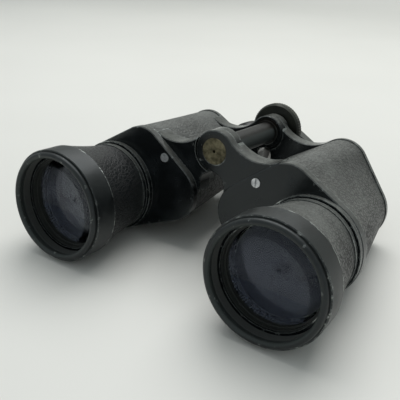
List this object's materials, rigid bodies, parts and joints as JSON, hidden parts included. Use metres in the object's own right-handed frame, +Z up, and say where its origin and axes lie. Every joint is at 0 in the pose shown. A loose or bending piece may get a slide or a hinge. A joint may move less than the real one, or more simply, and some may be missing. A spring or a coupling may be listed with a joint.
{
  "type": "binoculars",
  "caption": "Porro-prism binoculars with centre focus: leather-clad prism housings on a lug hinge, waisted objective tubes with round hoods, eyepieces on a sliding bridge.",
  "frame": {"origin": "middle of the bounding box at the table surface that the instrument lies on", "axes": "+Z up; +X towards the user's left barrel; the optical axes run back along +Y, dipping as the instrument lies on its hoods and rear covers"},
  "size_m": [0.1902, 0.1778, 0.0737],
  "materials": {
    "black_enamel": "glossy black enamel on cast and turned alloy, worn to bare metal at the edges",
    "hood_enamel": "satin black enamel, rubbed",
    "leather_cloth": "fine pebble grain, black, dusty on top",
    "matt_black": "matt black inside surfaces",
    "brass": "dull brass",
    "steel": "bright steel screws and spindle",
    "coated_glass": "optical glass with a thin bluish coating",
    "prism_glass": "clear optical glass",
    "bakelite": "black moulded resin"
  },
  "bodies": {
    "left_barrel": {"left_housing": "black_enamel", "left_housing_leather": "leather_cloth", "left_front_cover": "black_enamel", "left_rear_cover": "black_enamel", "left_cover_screws": "steel", "left_objective_tube": "black_enamel", "left_tube_leather": "leather_cloth", "left_objective_hood": "hood_enamel", "left_crown_lens": "coated_glass", "left_flint_lens": "prism_glass", "left_retaining_ring": "matt_black", "left_prism_shelf": "matt_black", "left_rear_prism": "prism_glass", "left_front_prism": "prism_glass", "left_prism_straps": "steel", "left_eyepiece_guide": "black_enamel", "hinge_axle": "brass", "hinge_tube": "black_enamel"},
    "right_barrel": {"right_housing": "black_enamel", "right_housing_leather": "leather_cloth", "right_front_cover": "black_enamel", "right_rear_cover": "black_enamel", "right_cover_screws": "steel", "right_objective_tube": "black_enamel", "right_tube_leather": "leather_cloth", "right_objective_hood": "hood_enamel", "right_crown_lens": "coated_glass", "right_flint_lens": "prism_glass", "right_retaining_ring": "matt_black", "right_prism_shelf": "matt_black", "right_rear_prism": "prism_glass", "right_front_prism": "prism_glass", "right_prism_straps": "steel", "right_eyepiece_guide": "black_enamel"},
    "focus_wheel": {"focus_wheel": "black_enamel", "focus_sleeve": "brass"},
    "left_bridge": {"focus_spindle": "steel", "bridge_screw": "steel", "left_bridge_arm": "black_enamel", "left_eyepiece_tube": "black_enamel", "left_field_stop": "matt_black", "left_ocular_cell": "matt_black", "left_field_lens": "prism_glass", "left_eye_lens": "coated_glass", "left_eyecup": "bakelite", "left_eyepiece_collar": "black_enamel"},
    "right_bridge": {"right_bridge_arm": "black_enamel", "right_eyepiece_tube": "black_enamel", "right_field_stop": "matt_black"},
    "dioptre_ring": {"right_dioptre_ring": "black_enamel"},
    "right_ocular": {"right_ocular_cell": "matt_black", "right_field_lens": "prism_glass", "right_eye_lens": "coated_glass", "right_eyecup": "bakelite"}
  },
  "joints": [
    {"name": "barrel_hinge", "type": "hinge", "parent": "left_barrel", "child": "right_barrel", "pos_m": [0, 0.0059, 0.05943], "axis": [0, -0.9967, 0.0811], "range_deg": [-16, 21]},
    {"name": "focus_turn", "type": "hinge", "parent": "left_barrel", "child": "focus_wheel", "pos_m": [0, 0.05075, 0.05578], "axis": [0, 0.9967, -0.0811], "range_deg": [-40.05, 240.05]},
    {"name": "left_focus_slide", "type": "slide", "parent": "left_barrel", "child": "left_bridge", "axis": [0, 0.9967, -0.0811], "range_m": [-0.001, 0.006]},
    {"name": "right_focus_slide", "type": "slide", "parent": "right_barrel", "child": "right_bridge", "axis": [0, 0.9967, -0.0811], "range_m": [-0.001, 0.006]},
    {"name": "dioptre_turn", "type": "hinge", "parent": "right_bridge", "child": "dioptre_ring", "pos_m": [-0.03398, 0.06669, 0.02971], "axis": [0, 0.9967, -0.0811], "range_deg": [-75.1, 75.1]},
    {"name": "right_ocular_slide", "type": "slide", "parent": "right_bridge", "child": "right_ocular", "axis": [0, 0.9967, -0.0811], "range_m": [-0.00167, 0.00167]}
  ],
  "couplings": [
    {"joint": "focus_turn", "follows": "left_focus_slide", "rad_per_m": 698.13},
    {"joint": "right_focus_slide", "follows": "left_focus_slide", "ratio": 1},
    {"joint": "dioptre_turn", "follows": "right_ocular_slide", "rad_per_m": 785.4}
  ]
}
